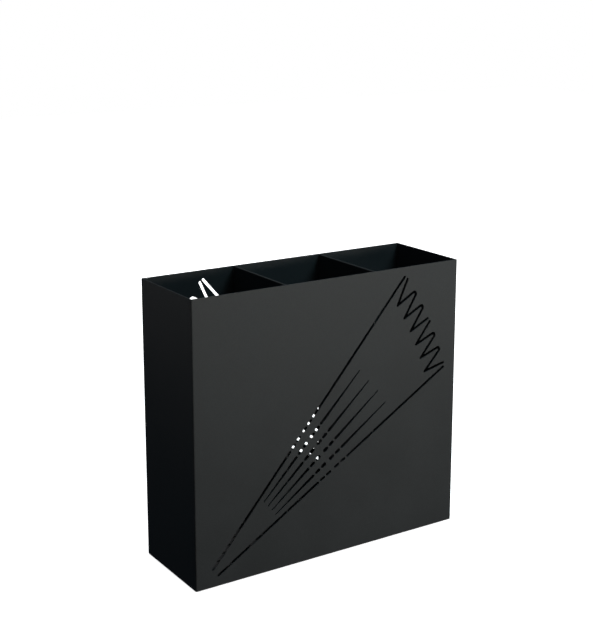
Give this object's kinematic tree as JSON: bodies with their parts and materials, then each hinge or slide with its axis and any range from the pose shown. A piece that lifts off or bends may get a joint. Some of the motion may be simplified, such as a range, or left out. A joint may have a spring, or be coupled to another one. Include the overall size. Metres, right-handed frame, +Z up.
{
  "type": "umbrella stand",
  "caption": "Rectangular open-topped sheet steel umbrella stand with a pierced folded-umbrella drawing on both wide faces, upright dividers and lift-out drip trays.",
  "frame": {"origin": "on the floor, under the middle of the stand", "axes": "+X along the width, front wide panel faces -Y, +Z up"},
  "size_m": [0.54, 0.175, 0.5],
  "materials": {
    "shell": "matt charcoal powder coat, fine texture",
    "divider": "matt charcoal powder coat",
    "pan": "matt charcoal powder coat",
    "tray": "fine moulded grain",
    "foot": "matt rubber",
    "fastener": "bright zinc plating",
    "insert": "knurled brass"
  },
  "bodies": {
    "stand": {"front_shell": "shell", "back_shell": "shell", "base_pan": "pan", "divider_left": "divider", "divider_right": "divider", "foot_front_left": "foot", "foot_front_right": "foot", "foot_back_left": "foot", "foot_back_right": "foot", "foot_studs": "fastener", "foot_inserts": "insert", "corner_studs": "fastener", "corner_nuts": "fastener", "divider_studs": "fastener", "divider_nuts": "fastener", "base_studs": "fastener", "base_nuts": "fastener"},
    "left_tray": {"drip_tray_left": "tray"},
    "middle_tray": {"drip_tray_middle": "tray"},
    "right_tray": {"drip_tray_right": "tray"}
  },
  "joints": [
    {"name": "left_tray_lift", "type": "slide", "parent": "stand", "child": "left_tray", "axis": [0, 0, 1], "range_m": [0, 0.5]},
    {"name": "middle_tray_lift", "type": "slide", "parent": "stand", "child": "middle_tray", "axis": [0, 0, 1], "range_m": [0, 0.5]},
    {"name": "right_tray_lift", "type": "slide", "parent": "stand", "child": "right_tray", "axis": [0, 0, 1], "range_m": [0, 0.5]}
  ]
}
